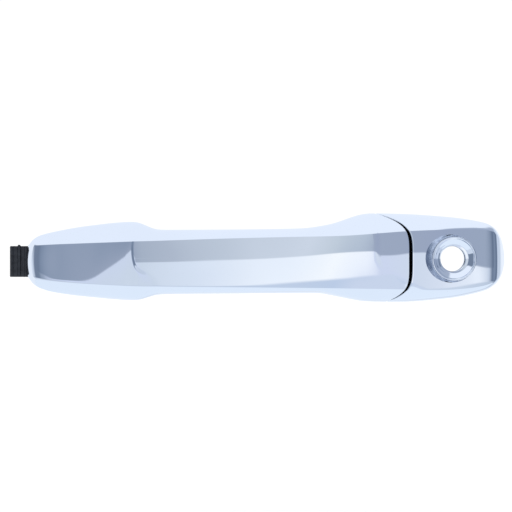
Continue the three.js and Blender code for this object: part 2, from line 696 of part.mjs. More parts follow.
function fingerTip() {
  return new THREE.Vector2(
    CRANK.x + FINGER_LENGTH * Math.sin(FINGER_ANGLE),
    CRANK.y - FINGER_LENGTH * Math.cos(FINGER_ANGLE),
  );
}

function releaseCrank() {
  const { x0, x1 } = CRANK_PLATE;
  const tip = fingerTip();
  return combine(
    rodX(7, x0, x1, CRANK.x, CRANK.y, 24),
    [
      rodX(4.1, x0, 74.4, CRANK.x, CRANK.y, 20),
      link(CRANK, tip, 4, x0, x1),
      link(CRANK, ROD_EYE, 4, x0, x1),
      link(CRANK, WEIGHT_AT, 3.6, x0, x1),
      rodX(LUG_RADIUS, 46.5, x0 + 1, tip.x, tip.y),
    ],
    [
      rodX(CRANK_PIN_RADIUS + GAP, 60, 76, CRANK.x, CRANK.y),
      rodX(2.4, x0 - 1, x1 + 1, ROD_EYE.x, ROD_EYE.y),
      rodX(2, x0 - 1, x1 + 1, WEIGHT_AT.x, WEIGHT_AT.y, 12),
    ],
  );
}

function counterweight() {
  const { x0, x1 } = CRANK_PLATE;
  const block = rodX(4.4, x1 + GAP, 72.8, WEIGHT_AT.x, WEIGHT_AT.y, 20);
  const rivet = rodX(1.7, x0, x1 + 1, WEIGHT_AT.x, WEIGHT_AT.y, 12);
  return combine(block, [rivet]);
}

function rodClip() {
  const { x0, x1 } = CRANK_PLATE;
  const [y, z] = [ROD_EYE.x, ROD_EYE.y];
  return combine(
    rodX(4, x1 + 0.4, 75, y, z, 16),
    [rodX(2.05, x0, x1 + 1, y, z, 12), box(x1 + 1.2, 75, y - 3.6, y + 3.6, z - 13, z)],
    [rodZ(1.8, z - 14, z - 4.6, 72.2, y, 12), box(73.4, 76, y - 1.1, y + 1.1, z - 14, z - 4.6)],
  );
}

// Torsion spring round the crank's tube: a leg on the carrier, four turns, a leg on the rod arm.
class SpringPath extends THREE.Curve {
  getPoint(t, target = new THREE.Vector3()) {
    const { radius, turns, x0, x1, leg, legShare } = SPRING;
    const wound = THREE.MathUtils.clamp((t - legShare) / (1 - 2 * legShare), 0, 1);
    const angle = Math.PI / 2 + turns * 2 * Math.PI * wound;
    const before = Math.max(legShare - t, 0) / legShare;
    const after = Math.max(t - 1 + legShare, 0) / legShare;
    return target.set(
      x0 + (x1 - x0) * wound,
      CRANK.x + radius * Math.cos(angle) + leg * (after - before),
      CRANK.y + radius * Math.sin(angle),
    );
  }
}

function returnSpring() {
  const wire = new THREE.Shape().absarc(0, 0, SPRING.wire, 0, 2 * Math.PI, false);
  const settings = { steps: 60, curveSegments: 3, bevelEnabled: false, extrudePath: new SpringPath() };
  return new THREE.ExtrudeGeometry(wire, settings);
}

// ---------------------------------------------------------------- assembly

const handle = new THREE.Group();

function place(name, geometry, finish) {
  const mesh = new THREE.Mesh(geometry, finish);
  mesh.name = name;
  handle.add(mesh);
}

place("grip_outer_shell", gripOuterShell(), chrome());
place("grip_inner_shell", gripInnerShell(), blackNylon());
place("front_pivot_arm", frontPivotArm(), blackNylon());
place("front_pivot_pin", frontPivotPin(), zincPlate());
place("rear_pull_arm", rearPullArm(), dieCast());
place("grip_screw_front", gripScrew("front"), zincPlate());
place("grip_screw_middle", gripScrew("middle"), zincPlate());
place("grip_screw_rear", gripScrew("rear"), zincPlate());

place("base_frame", baseFrame(), blackNylon());
place("front_pivot_bush", frontPivotBush(), bushPolymer());
place("front_gasket", frontGasket(), rubber());
place("rear_gasket", rearGasket(), rubber());
place("frame_seal_front", seal(FRONT_SEAL_PATH), rubber());
place("frame_seal_rear", seal(REAR_SEAL_PATH), rubber());
place("mounting_screw_front", mountingScrew(), zincPlate());
place("mounting_insert_front", mountingInsert(), brass());
place("rest_bumper", restBumper(), rubber());

place("key_cap", keyCap(), chrome());
place("key_bezel", keyBezel(), chrome());
place("cylinder_housing", cylinderHousing(), blackNylon());
place("cap_screw_front", capScrew("front"), zincPlate());
place("cap_screw_rear", capScrew("rear"), zincPlate());
place("cap_retaining_screw", capRetainingScrew(), zincPlate());
place("cap_screw_insert", capScrewInsert(), brass());

place("release_crank", releaseCrank(), dieCast());
place("crank_pin", crankPin(), zincPlate());
place("crank_pin_clip", crankPinClip(), springSteel());
place("return_spring", returnSpring(), springSteel());
place("counterweight", counterweight(), zincPlate());
place("rod_clip", rodClip(), bushPolymer());

export default handle;
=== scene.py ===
"""Looks of a car door outside handle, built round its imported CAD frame.

Metres, in the row frame: +X along the handle towards the rear of the car, +Z up, -Y out of the door.
The bright shells are lofted again here as fine, smooth skins on the outline that the CAD shells have.
"""

import json
import math

import bmesh
import bpy
import numpy as np
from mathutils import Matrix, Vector


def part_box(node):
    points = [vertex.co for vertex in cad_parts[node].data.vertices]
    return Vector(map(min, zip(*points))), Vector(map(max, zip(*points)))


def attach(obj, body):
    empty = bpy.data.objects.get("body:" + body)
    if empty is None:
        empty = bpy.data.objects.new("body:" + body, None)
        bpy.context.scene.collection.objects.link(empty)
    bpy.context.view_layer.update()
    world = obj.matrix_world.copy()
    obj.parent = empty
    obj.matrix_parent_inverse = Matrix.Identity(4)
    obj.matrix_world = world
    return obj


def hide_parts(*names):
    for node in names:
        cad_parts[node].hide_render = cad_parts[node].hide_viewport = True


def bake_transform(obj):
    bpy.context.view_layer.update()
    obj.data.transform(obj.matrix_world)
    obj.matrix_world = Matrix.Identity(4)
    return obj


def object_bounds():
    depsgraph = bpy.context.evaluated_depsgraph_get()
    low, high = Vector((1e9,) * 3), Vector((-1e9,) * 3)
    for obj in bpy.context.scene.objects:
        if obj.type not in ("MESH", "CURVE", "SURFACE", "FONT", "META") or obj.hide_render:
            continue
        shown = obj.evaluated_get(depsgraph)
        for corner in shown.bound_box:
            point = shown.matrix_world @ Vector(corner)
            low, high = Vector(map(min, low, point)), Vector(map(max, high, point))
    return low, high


MM = 0.001
CHROME = (0.87, 0.9, 0.94)  # reflectance of the bright plating

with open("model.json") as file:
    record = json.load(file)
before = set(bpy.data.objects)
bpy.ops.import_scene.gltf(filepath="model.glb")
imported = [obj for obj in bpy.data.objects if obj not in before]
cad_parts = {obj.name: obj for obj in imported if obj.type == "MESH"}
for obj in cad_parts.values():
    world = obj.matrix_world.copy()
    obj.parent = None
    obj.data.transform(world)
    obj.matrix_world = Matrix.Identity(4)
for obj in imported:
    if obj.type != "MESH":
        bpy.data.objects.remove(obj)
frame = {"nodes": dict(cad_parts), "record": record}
cad_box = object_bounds()
nodes = frame["nodes"]


# ------------------------------------------------------------------ outline of the bright shells

# Stations [x, value] in millimetres of the row frame, as in the CAD.
TOP_EDGE = [
    [-107.2, 5.5], [-105.8, 8.4], [-103, 10.4], [-96, 12.1], [-80, 14.9], [-57.8, 16.9], [-46, 13.1],
    [-15, 13.2], [20, 13.7], [33, 15.4], [53, 20.8], [66, 20.6], [92, 18.9], [104, 17.1],
    [110, 15.4], [113.5, 12.5], [115.5, 8.5], [116.6, 2.5],
]
BOTTOM_EDGE = [
    [-107.2, -9.5], [-105.8, -12.5], [-103, -14.6], [-96, -16.4], [-80, -18.5], [-57, -20.2],
    [-46, -17.4], [-15, -17], [28, -16.7], [38, -18.4], [52, -20.7], [66, -20.9], [90, -19.2],
    [102, -17], [109, -14.9], [113, -12.1], [115.3, -8.2], [116.6, -3],
]
UPPER_CREASE = [
    [-107.2, 4.6], [-104, 5.9], [-85, 6.8], [-58.7, 7.75], [-20, 9.2], [14, 10.1], [40, 10.6],
    [60, 12], [72, 12.9], [86, 13.4], [104, 13.8], [110, 13], [113.5, 10.6], [115.5, 7], [116.6, 1.8],
]
LOWER_CREASE = [
    [-107.2, -8.6], [-104, -9.7], [-97, -11], [-74, -12.9], [-50, -13.9], [-15, -14.3], [31, -14.8],
    [60, -15.3], [84, -15.7], [104, -14.4], [110, -12.6], [113.5, -10], [115.5, -6.8], [116.6, -2.2],
]
CREASE_Y = [
    [-107.2, -6], [-106.4, -8.8], [-104.4, -11.6], [-102.2, -13], [-96, -14.9], [-80, -19.3], [-60, -24.4],
    [-57.6, -25.1], [-30, -29.6], [0, -32.6], [40, -34.6], [56, -34.7], [72, -34.1], [84, -32.9],
    [96, -30.2], [106, -27.4], [111.8, -25.4], [113, -24], [114.2, -20.8], [115.5, -15.5], [116.6, -9],
]
CROWN = [[-107.2, 0.2], [-100, 0.6], [-80, 1], [0, 1.5], [72, 1.4], [100, 1], [116.6, 0.2]]
BEVEL_DEPTH = [
    [-107.2, 1.2], [-104, 4.2], [-90, 8], [-60, 12], [-46, 9], [0, 8.5], [30, 9.5], [52, 13.5],
    [72, 13], [100, 11], [111, 8], [116.6, 2],
]
REST_Y = -3.2
BACK_Y = [
    [-107.2, REST_Y], [-78, REST_Y], [-66, -5], [-52, -12], [-40, -15.5], [-20, -17.7], [0, -18.5],
    [20, -18], [34, -15.5], [42, -10.5], [48, -5], [52, REST_Y], [116.6, REST_Y],
]
# The front facet of each stretch: stations [x, ridge height, slope at the upper crease, at the lower one].
# The ridge is where the facet faces straight out; the front head's runs diagonally up to the waist.
HEAD_FACET = [
    [-107.2, -11.5, 0.14, 0.04], [-86, -11.8, 0.13, 0.04], [-77, -10.6, 0.12, 0.05],
    [-72, -6.4, 0.12, 0.07], [-67, -3.2, 0.11, 0.08], [-63.4, -0.5, 0.1, 0.09],
    [-59.5, 3.6, 0.1, 0.1], [-56, 6, 0.1, 0.1],
]
WAIST_FACET = [
    [-62, -3.4, 0.09, 0.14], [-46, -2.6, 0.13, 0.15], [-26, -1.7, 0.17, 0.15], [0, -0.7, 0.17, 0.175],
    [20, 0.5, 0.17, 0.2], [43, 2.6, 0.17, 0.226], [54, 3, 0.17, 0.25], [60, 3, 0.17, 0.255],
]
REAR_DROP = 0.3  # the rear facet lies this much below the waist's
REAR_FACET = [
    [50, 1.4, 0.16, 0.15], [62, 1, 0.16, 0.15], [76, 2.6, 0.16, 0.15], [84, 2, 0.15, 0.16],
    [92, 0, 0.14, 0.18], [100, -3.4, 0.13, 0.21], [107, -5.2, 0.12, 0.24], [116.6, -6, 0.1, 0.24],
]
WALL = 2.5  # thickness of the grip's shell
OPEN_BACK = 6  # a hollow runs this far out through the back
# Parting line between grip and cap: a rounded tongue, with a gap that narrows towards both edges.
SEAM = {
    "x": 72.1, "reach": 13.2, "middle": -0.9, "half_height": 20.7, "power": 4.8,
    "half_gap": 0.74, "narrowing": 0.35,
}
# Curved steps of the facet at both ends of the waist: x at its foremost height z, and how fast it falls back.
FRONT_STEP = {
    "x": -59.0, "z": 3.5, "bend": 0.022, "width": 0.9, "soft": 7, "soft_below": -3.5, "soft_over": 7,
}
REAR_STEP = {
    "x": 55.6, "z": 1.5, "bend": 0.055, "width": 1.6, "soft": 7, "soft_below": -4, "soft_over": 4,
}
STEP_HEIGHT = 0.32  # the waist stands this much proud of the front head's facet
STEP_GROWTH = 0.025  # and this much more for each millimetre above z = -1
CREASE_ROUND = 0.6
SEAM_ROUND = 0.35
BACK_ROUND = 1.7
# The ends are bowed: a shift of the whole end and a reach by which corners lie further in than the middle.
END_BOW = {"middle": -1.8, "half_height": 9.4}
FRONT_BOW = {"shift": -1.6, "reach": 1.45, "length": 14}
REAR_BOW = {"shift": 0, "reach": -0.4, "length": 9}


def slopes(x, v):
    """Tangents of a curve that doesn't overshoot between its stations."""
    secant = np.diff(v) / np.diff(x)
    before = np.concatenate([secant[:1], secant])
    after = np.concatenate([secant, secant[-1:]])
    product = before * after
    total = np.where(np.abs(before + after) < 1e-9, 1, before + after)
    return np.where(product <= 0, 0, 2 * product / total)


def curve(stations, soften=4.0):
    """A smooth function through stations [x, value], softened over some millimetres away from its ends."""
    x, v = np.array(stations, float).T
    m = slopes(x, v)
    fine = np.linspace(x[0], x[-1], 1200)
    i = np.clip(np.searchsorted(x, fine) - 1, 0, len(x) - 2)
    h = x[i + 1] - x[i]
    t = (fine - x[i]) / h
    value = v[i] + (v[i + 1] - v[i]) * t * t * (3 - 2 * t)
    value = value + h * (m[i] * t * (1 - t) ** 2 + m[i + 1] * t * t * (t - 1))
    to_end = np.minimum(fine - fine[0], fine[-1] - fine)
    spread = np.clip(0.3 * to_end, 0.02, soften)[:, None]
    weight = np.exp(-0.5 * ((fine[None, :] - fine[:, None]) / spread) ** 2)
    smooth = (weight @ value) / weight.sum(1)
    return lambda at: np.interp(at, fine, smooth)


def facet(stations):
    """Ridge height and the slopes at both creases, as functions of x."""
    return [curve([[row[0], row[column]] for row in stations], 2.5) for column in (1, 2, 3)]


top_edge = curve(TOP_EDGE, 1.8)
bottom_edge = curve(BOTTOM_EDGE, 1.8)
upper_crease = curve(UPPER_CREASE)
lower_crease = curve(LOWER_CREASE)
crease_y = curve(CREASE_Y, 4)
crown = curve(CROWN, 8)
bevel_depth = curve(BEVEL_DEPTH, 5)
back_y = curve(BACK_Y, 2.5)
head_facet = facet(HEAD_FACET)
waist_facet = facet(WAIST_FACET)
rear_facet = facet(REAR_FACET)


def smooth_step(t):
    t = np.clip(t, 0, 1)
    return t * t * (3 - 2 * t)


def seam_x(z):
    return SEAM["x"] - SEAM["reach"] * (np.abs(z - SEAM["middle"]) / SEAM["half_height"]) ** SEAM["power"]


def waist_share(x, z):
    """Weights of the waist's facet and of the rear one at a point; the front head has what is left."""
    into = past_step(FRONT_STEP, x, z, z - FRONT_STEP["z"])
    out_of = past_step(REAR_STEP, x, z, np.minimum(z - REAR_STEP["z"], 0))
    return into * (1 - out_of), into * out_of


def past_step(step, x, z, off):
    """How far a point lies past a step, 0 to 1; the step is softer low down, and bends back with off."""
    start = step["x"] + step["bend"] * off**2
    softer = smooth_step((step["soft_below"] - z) / step["soft_over"])
    return smooth_step((x - start) / (step["width"] + step["soft"] * softer))


def facet_height(functions, x, z, high, low):
    """Depth that a facet has lost at height z against its ridge."""
    ridge, top_slope, low_slope = (f(x) for f in functions)
    above = np.maximum(z - ridge, 0)
    below = np.maximum(ridge - z, 0)
    up = top_slope * above**2 / (2 * np.maximum(high - ridge, 3))
    return up + low_slope * below**2 / (2 * np.maximum(ridge - low, 3))


def bezier(a, b, c, t):
    t = np.asarray(t)[None, :]
    return (1 - t) ** 2 * a[:, None] + 2 * t * (1 - t) * b[:, None] + t * t * c[:, None]


# Points along each part of a section.
BEVEL_POINTS = 12
ROUND_POINTS = 7
FACET_POINTS = 30
SIDE_POINTS = 7
LEAST_BEVEL = 0.35
LEAST_SIDE = 2.2
BEVEL_KNEE = 0.45  # share of the bevel's depth where its curve turns


def facet_y(x, z, high, low, front, bulge):
    """Depth of the front facet at a point."""
    waist, rear = waist_share(x, z)
    fall = (1 - waist - rear) * facet_height(head_facet, x, z, high, low)
    fall = fall + waist * facet_height(waist_facet, x, z, high, low)
    fall = fall + rear * (facet_height(rear_facet, x, z, high, low) + REAR_DROP)
    fade = smooth_step((z + 8.5) / 6) * (1 - smooth_step((x + 57) / 60))
    return front - bulge + fall - (STEP_HEIGHT + STEP_GROWTH * np.maximum(z + 1, 0)) * fade * waist


def front_path(x, inset):
    """Front outline of the sections at stations x, top edge to bottom edge: arrays y, z."""
    top = top_edge(x) - inset
    bottom = bottom_edge(x) + inset
    high = np.minimum(upper_crease(x) - 0.4 * inset, top - LEAST_BEVEL)
    low = np.maximum(lower_crease(x) + 0.4 * inset, bottom + LEAST_BEVEL)
    front = crease_y(x) + inset
    bulge = crown(x)
    wall = np.minimum(front + bevel_depth(x), section_back(x, inset) - LEAST_SIDE)
    cut = CREASE_ROUND * np.clip((high - low) / 12, 0.15, 1)

    def facet_at(z):
        return facet_y(x[:, None], z, high[:, None], low[:, None], front[:, None], bulge[:, None])

    high_y = facet_at(high[:, None])[:, 0]
    low_y = facet_at(low[:, None])[:, 0]
    inner_high = high - cut
    inner_low = low + cut
    z_facet = inner_high[:, None] + (inner_low - inner_high)[:, None] * np.linspace(0, 1, FACET_POINTS)
    y_facet = facet_at(z_facet)
    parts = []
    for edge, crease_z, start_y, near in ((top, high, high_y, 0), (bottom, low, low_y, -1)):
        length = np.hypot(edge - crease_z, wall - start_y)
        stop = 1 - np.clip(cut / length, 0, 0.4)
        knee = start_y + BEVEL_KNEE * (wall - start_y)
        t = np.linspace(0, 1, BEVEL_POINTS)[None, :] * stop[:, None]
        y = (1 - t) ** 2 * wall[:, None] + 2 * t * (1 - t) * knee[:, None] + t * t * start_y[:, None]
        z = (1 - t) ** 2 * edge[:, None] + 2 * t * (1 - t) * edge[:, None] + t * t * crease_z[:, None]
        s = np.linspace(0, 1, ROUND_POINTS + 2)[1:-1]
        y_round = bezier(y[:, -1], start_y, y_facet[:, near], s)
        z_round = bezier(z[:, -1], crease_z, z_facet[:, near], s)
        parts.append((np.hstack([y, y_round]), np.hstack([z, z_round])))
    (y_top, z_top), (y_low, z_low) = parts
    ys = np.hstack([y_top, y_facet, y_low[:, ::-1]])
    zs = np.hstack([z_top, z_facet, z_low[:, ::-1]])
    return ys, zs


def section_back(x, inset):
    return back_y(x) + (OPEN_BACK if inset > 0 else 0)


def section_loops(x, inset):
    """Closed sections at stations x, as arrays y, z: back, top side, front, bottom side."""
    ys, zs = front_path(x, inset)
    top, bottom = zs[:, :1], zs[:, -1:]
    back = section_back(x, inset)[:, None]
    corner = BACK_ROUND if inset == 0 else 0.3
    away = np.minimum(top - zs, zs - bottom)
    lift = corner - np.sqrt(np.clip(corner**2 - np.clip(corner - away, 0, corner) ** 2, 0, None))
    back_path = back - lift
    k = np.linspace(0, 1, SIDE_POINTS + 2)[1:-1]
    top_side = back_path[:, :1] + (ys[:, :1] - back_path[:, :1]) * k
    low_side = ys[:, -1:] + (back_path[:, -1:] - ys[:, -1:]) * k
    loop_y = np.hstack([back_path[:, ::-1], top_side, ys, low_side])
    loop_z = np.hstack([zs[:, ::-1], np.repeat(top, SIDE_POINTS, 1), zs, np.repeat(bottom, SIDE_POINTS, 1)])
    return loop_y, loop_z


def at_own_station(x, inset):
    """Section points where each point of the loop has its own station x: arrays y, z."""
    loop_y, loop_z = section_loops(x, inset)
    i = np.arange(len(x))
    return loop_y[i, i], loop_z[i, i]


def loop_length():
    return 2 * front_length() + 2 * SIDE_POINTS


def front_length():
    return 2 * (BEVEL_POINTS + ROUND_POINTS) + FACET_POINTS


def seam_stations(side, inset, guess=66.0):
    """The station where each loop point meets its side of the parting gap: -1 for the grip, 1 for the cap."""
    x = np.full(loop_length(), guess)
    for _ in range(14):
        _, z = at_own_station(x, inset)
        half_gap = SEAM["half_gap"] - SEAM["narrowing"] * (np.abs(z) / SEAM["half_height"]) ** 2
        x = 0.5 * x + 0.5 * (seam_x(z) + side * (half_gap + inset))
    return x


def eased(start, end, count, ease):
    """Stations from start to end, closer together at the start."""
    t = np.linspace(0, 1, count)
    return start + (end - start) * (t + ease * (t * t - t))


# ------------------------------------------------------------------ meshes

WELD = 2e-6  # metres: points nearer than this are one

def new_object(name, mesh):
    obj = bpy.data.objects.new(name, mesh)
    bpy.context.scene.collection.objects.link(obj)
    return obj


def loft(name, rows):
    """A closed body from rows of loop points in millimetres, its ends ruled from front to back."""
    count = rows.shape[1]
    front = front_length()
    verts = [tuple(p) for row in rows for p in row * MM]
    faces = []
    for i in range(len(rows) - 1):
        for j in range(count):
            a, b = i * count + j, i * count + (j + 1) % count
            faces.append((a, b, b + count, a + count))
    for row, flip in ((0, True), (len(rows) - 1, False)):
        faces.extend(end_faces(rows[row] * MM, row * count, front, verts, flip))
    mesh = bpy.data.meshes.new(name)
    mesh.from_pydata(verts, [], faces)
    bm = bmesh.new()
    bm.from_mesh(mesh)
    bmesh.ops.remove_doubles(bm, verts=bm.verts, dist=WELD)
    bmesh.ops.dissolve_degenerate(bm, edges=bm.edges, dist=WELD)
    bmesh.ops.recalc_face_normals(bm, faces=bm.faces)
    bm.to_mesh(mesh)
    bm.free()
    return new_object(name, mesh)


def end_faces(points, first, front, verts, flip):
    """Faces of one end of a loft: straight rulings from each front point back to the point behind it."""
    side = SIDE_POINTS
    front_at = [first + front + side + j for j in range(front)]
    back_at = [first + front - 1 - j for j in range(front)]
    columns = []
    for j in range(front):
        start, end = Vector(verts[front_at[j]]), Vector(verts[back_at[j]])
        if j == 0:
            inner = [first + front + side - 1 - k for k in range(side)]
        elif j == front - 1:
            inner = [first + 2 * front + side + k for k in range(side)]
        else:
            inner = []
            for k in range(side):
                inner.append(len(verts))
                verts.append(tuple(start.lerp(end, (k + 1) / (side + 1))))
        columns.append([front_at[j], *inner, back_at[j]])
    faces = []
    for left, right in zip(columns, columns[1:]):
        for k in range(side + 1):
            quad = (left[k], left[k + 1], right[k + 1], right[k])
            faces.append(quad[::-1] if flip else quad)
    return faces


def rows_between(stations, inset):
    """Loop rows for stations given as an array (rows, points) with a station for each point."""
    rows = []
    for x in stations:
        if np.ptp(x) < 1e-9:
            y, z = section_loops(x[:1], inset)
            y, z = y[0], z[0]
        else:
            y, z = at_own_station(x, inset)
        rows.append(np.stack([x, y, z], 1))
    return np.array(rows)


def rolled(rows, edge, towards, radius):
    """Rounds the edge of a loft over into its end: extra rows that follow an arc of the given radius."""
    centre_y = rows[:, 1].mean()
    ahead = np.roll(rows, -1, 0) - np.roll(rows, 1, 0)
    normal = np.stack([np.zeros(len(rows)), ahead[:, 2], -ahead[:, 1]], 1)
    normal /= np.maximum(np.linalg.norm(normal, axis=1, keepdims=True), 1e-9)
    facing = (centre_y - rows[:, 1]) * normal[:, 1] - rows[:, 2] * normal[:, 2]
    inward = np.where(facing[:, None] < 0, -normal, normal)
    extra = []
    for angle in np.linspace(0, math.pi / 2, 6)[1:]:
        x = edge - towards * radius * (1 - math.sin(angle))
        moved = rows.copy()
        moved[:, 0] = x
        moved[:, 1:] += inward[:, 1:] * radius * (1 - math.cos(angle))
        extra.append(moved)
    return extra


def carve(obj, cutter):
    """Takes the cutter out of a piece, then welds what the cut leaves and fills its smallest holes."""
    modifier = obj.modifiers.new("cut", "BOOLEAN")
    modifier.operation = "DIFFERENCE"
    modifier.solver = "EXACT"
    modifier.object = cutter
    bake_modifiers(obj)
    bpy.data.objects.remove(cutter)
    bm = bmesh.new()
    bm.from_mesh(obj.data)
    bmesh.ops.remove_doubles(bm, verts=bm.verts, dist=WELD)
    bmesh.ops.dissolve_degenerate(bm, edges=bm.edges, dist=WELD)
    bmesh.ops.holes_fill(bm, edges=[e for e in bm.edges if e.is_boundary], sides=4)
    bm.to_mesh(obj.data)
    bm.free()


def bake_modifiers(obj):
    depsgraph = bpy.context.evaluated_depsgraph_get()
    mesh = bpy.data.meshes.new_from_object(obj.evaluated_get(depsgraph))
    obj.modifiers.clear()
    old = obj.data
    obj.data = mesh
    bpy.data.meshes.remove(old)


def shade(obj, angle=32):
    """Smooth shading with the edges over an angle kept sharp."""
    mesh = obj.data
    bm = bmesh.new()
    bm.from_mesh(mesh)
    for face in bm.faces:
        face.smooth = True
    for edge in bm.edges:
        edge.smooth = len(edge.link_faces) == 2 and edge.calc_face_angle(0) < math.radians(angle)
    bm.to_mesh(mesh)
    bm.free()
    return obj


def lathe(name, profile, centre, axis, steps=96):
    """A turned body: profile (radius, height) pairs in millimetres, heights along the axis from centre."""
    bm = bmesh.new()
    turn = Vector((0, 0, 1)).rotation_difference(Vector(axis)).to_matrix()
    rings = []
    for radius, height in profile:
        if radius < 1e-6:
            rings.append([bm.verts.new(centre + turn @ Vector((0, 0, height * MM)))])
            continue
        ring = []
        for i in range(steps):
            a = 2 * math.pi * i / steps
            local = Vector((radius * MM * math.cos(a), radius * MM * math.sin(a), height * MM))
            ring.append(bm.verts.new(centre + turn @ local))
        rings.append(ring)
    closed = len(rings[0]) > 1 and len(rings[-1]) > 1
    pairs = list(zip(rings, rings[1:]))
    if closed:
        pairs.append((rings[-1], rings[0]))
    for low, high in pairs:
        for i in range(steps):
            j = (i + 1) % steps
            corners = [low[i % len(low)], low[j % len(low)], high[j % len(high)], high[i % len(high)]]
            unique = list(dict.fromkeys(corners))
            if len(unique) > 2:
                bm.faces.new(unique)
    bmesh.ops.recalc_face_normals(bm, faces=bm.faces)
    mesh = bpy.data.meshes.new(name)
    bm.to_mesh(mesh)
    bm.free()
    return shade(new_object(name, mesh))


def arc(centre, radius, start, end, count=6):
    """Points of an arc for a profile, in degrees."""
    angles = np.radians(np.linspace(start, end, count))
    return [(centre[0] + radius * math.cos(a), centre[1] + radius * math.sin(a)) for a in angles]


# ------------------------------------------------------------------ materials


def shader(name, color, roughness, metallic=0.0):
    material = bpy.data.materials.new(name)
    material.use_nodes = True
    principled = material.node_tree.nodes["Principled BSDF"]
    principled.inputs["Base Color"].default_value = (*color, 1)
    principled.inputs["Roughness"].default_value = roughness
    principled.inputs["Metallic"].default_value = metallic
    return material, principled


def node(material, kind, **values):
    made = material.node_tree.nodes.new(kind)
    for key, value in values.items():
        if hasattr(made, key):
            setattr(made, key, value)
        else:
            made.inputs[key].default_value = value
    return made


def link(material, source, target):
    material.node_tree.links.new(source, target)


def noise(material, scale, detail=4.0, stretch=None):
    where = node(material, "ShaderNodeTexCoord")
    texture = node(material, "ShaderNodeTexNoise", Scale=scale, Detail=detail, Roughness=0.55)
    source = where.outputs["Object"]
    if stretch:
        mapping = node(material, "ShaderNodeMapping", Scale=stretch)
        link(material, source, mapping.inputs["Vector"])
        source = mapping.outputs["Vector"]
    link(material, source, texture.inputs["Vector"])
    return texture


def ramp(material, source, low, high, low_at=0.35, high_at=0.65):
    """A value or colour that goes from low to high over part of the source's range."""
    mapped = node(material, "ShaderNodeMapRange")
    mapped.inputs["From Min"].default_value = low_at
    mapped.inputs["From Max"].default_value = high_at
    mapped.inputs["To Min"].default_value = low
    mapped.inputs["To Max"].default_value = high
    link(material, source, mapped.inputs["Value"])
    return mapped.outputs["Result"]


def colour_mix(material, source, low, high, low_at=0.35, high_at=0.65):
    mapped = node(material, "ShaderNodeValToRGB")
    mapped.color_ramp.elements[0].position = low_at
    mapped.color_ramp.elements[0].color = (*low, 1)
    mapped.color_ramp.elements[1].position = high_at
    mapped.color_ramp.elements[1].color = (*high, 1)
    link(material, source, mapped.inputs["Fac"])
    return mapped.outputs["Color"]


def bump(material, principled, source, height, strength):
    made = node(material, "ShaderNodeBump", Strength=strength, Distance=height)
    link(material, source, made.inputs["Height"])
    link(material, made.outputs["Normal"], principled.inputs["Normal"])


def chrome_material():
    material, principled = shader("bright_chrome_plate", CHROME, 0.03, 1.0)
    haze = noise(material, 60, 6)
    link(material, ramp(material, haze.outputs["Fac"], 0.015, 0.04), principled.inputs["Roughness"])
    tint = noise(material, 14, 3)
    colour = colour_mix(material, tint.outputs["Fac"], (0.86, 0.89, 0.93), (0.88, 0.91, 0.95))
    link(material, colour, principled.inputs["Base Color"])
    peel = noise(material, 180, 3)
    bump(material, principled, peel.outputs["Fac"], 0.00002, 0.05)
    return material


def shaded_recess_material():
    """Plating over the rougher wall of the lock's recess, with painted shade: its colour is darkened to
    blue-grey and mottled with painted highlights.
    """
    material, principled = shader("recess_plate_painted_shade", CHROME, 0.16, 1.0)
    cast_grain_and_shade = noise(material, 420, 4)
    # Painted shade: the noise mixes dark blue-grey and brighter plating, a mottle of painted shade and
    # painted highlights; the same noise also gives the real bump.
    colour = colour_mix(material, cast_grain_and_shade.outputs["Fac"], (0.5, 0.55, 0.66), (0.8, 0.86, 0.95))
    link(material, colour, principled.inputs["Base Color"])
    bump(material, principled, cast_grain_and_shade.outputs["Fac"], 0.0002, 0.3)
    return material


def black_nylon_material():
    material, principled = shader("black_glass_filled_nylon", (0.012, 0.014, 0.019), 0.42)
    grain = noise(material, 1400, 5)
    flow = noise(material, 90, 4, (1, 1, 3))
    colour = colour_mix(material, flow.outputs["Fac"], (0.009, 0.010, 0.014), (0.022, 0.025, 0.033))
    link(material, colour, principled.inputs["Base Color"])
    link(material, ramp(material, grain.outputs["Fac"], 0.34, 0.56), principled.inputs["Roughness"])
    bump(material, principled, grain.outputs["Fac"], 0.00006, 0.35)
    return material


def rubber_material():
    material, principled = shader("black_moulded_rubber", (0.018, 0.018, 0.02), 0.7)
    grain = noise(material, 900, 6)
    bloom = noise(material, 45, 5)
    colour = colour_mix(material, bloom.outputs["Fac"], (0.014, 0.014, 0.015), (0.03, 0.03, 0.032))
    link(material, colour, principled.inputs["Base Color"])
    link(material, ramp(material, grain.outputs["Fac"], 0.6, 0.82), principled.inputs["Roughness"])
    bump(material, principled, grain.outputs["Fac"], 0.00008, 0.4)
    return material


def zinc_plate_material():
    material, principled = shader("zinc_plated_steel", (0.6, 0.62, 0.64), 0.3, 1.0)
    brushed = noise(material, 500, 6, (1, 6, 1))
    cloud = noise(material, 120, 5)
    colour = colour_mix(material, cloud.outputs["Fac"], (0.52, 0.55, 0.58), (0.7, 0.7, 0.68))
    link(material, colour, principled.inputs["Base Color"])
    link(material, ramp(material, brushed.outputs["Fac"], 0.22, 0.42), principled.inputs["Roughness"])
    bump(material, principled, brushed.outputs["Fac"], 0.00003, 0.25)
    return material


def die_cast_material():
    material, principled = shader("tumbled_zinc_die_cast", (0.4, 0.41, 0.43), 0.45, 1.0)
    skin = noise(material, 350, 8)
    stain = noise(material, 60, 4)
    colour = colour_mix(material, stain.outputs["Fac"], (0.32, 0.33, 0.35), (0.5, 0.51, 0.53))
    link(material, colour, principled.inputs["Base Color"])
    link(material, ramp(material, skin.outputs["Fac"], 0.36, 0.6), principled.inputs["Roughness"])
    bump(material, principled, skin.outputs["Fac"], 0.00007, 0.35)
    return material


